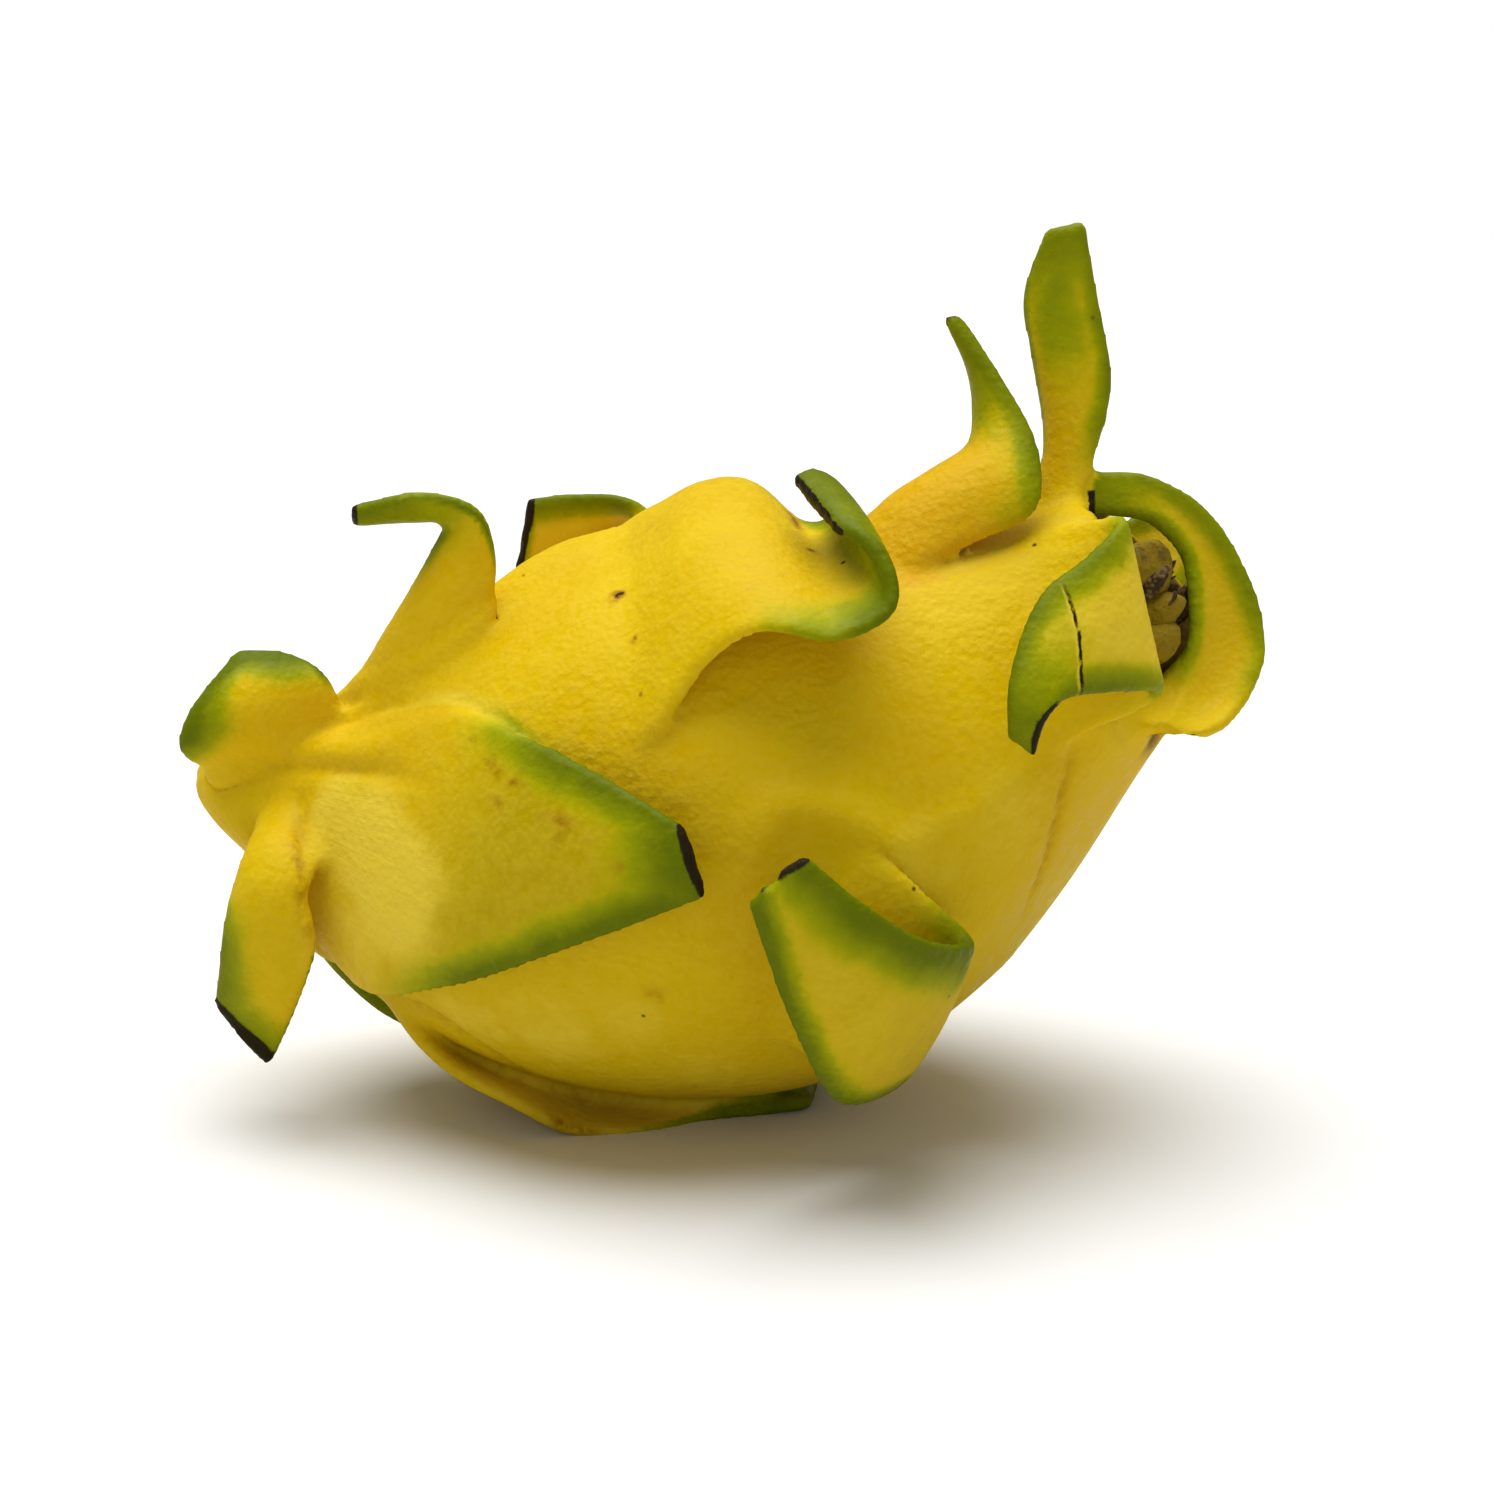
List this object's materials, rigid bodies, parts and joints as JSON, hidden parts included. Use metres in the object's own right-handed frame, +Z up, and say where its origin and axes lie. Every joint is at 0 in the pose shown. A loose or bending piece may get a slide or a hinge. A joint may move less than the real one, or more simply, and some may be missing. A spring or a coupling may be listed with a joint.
{
  "type": "yellow dragon fruit",
  "caption": "Whole yellow dragon fruit lying on its side, with curling green-edged scales and a hollow crown that holds a dried flower.",
  "frame": {"origin": "centre of the bounding box's bottom face, on the surface that the fruit lies on", "axes": "+X from the stem scar towards the crown, +Z up, -Y the side with the two rolled-back scales"},
  "size_m": [0.151, 0.1108, 0.1259],
  "materials": {
    "skin": "waxy yellow skin with a fine grain, green towards the scale margins",
    "dried_petal": "dry brown papery remnant"
  },
  "bodies": {
    "root": {"fruit": "skin", "dried_flower": "dried_petal"}
  },
  "joints": []
}
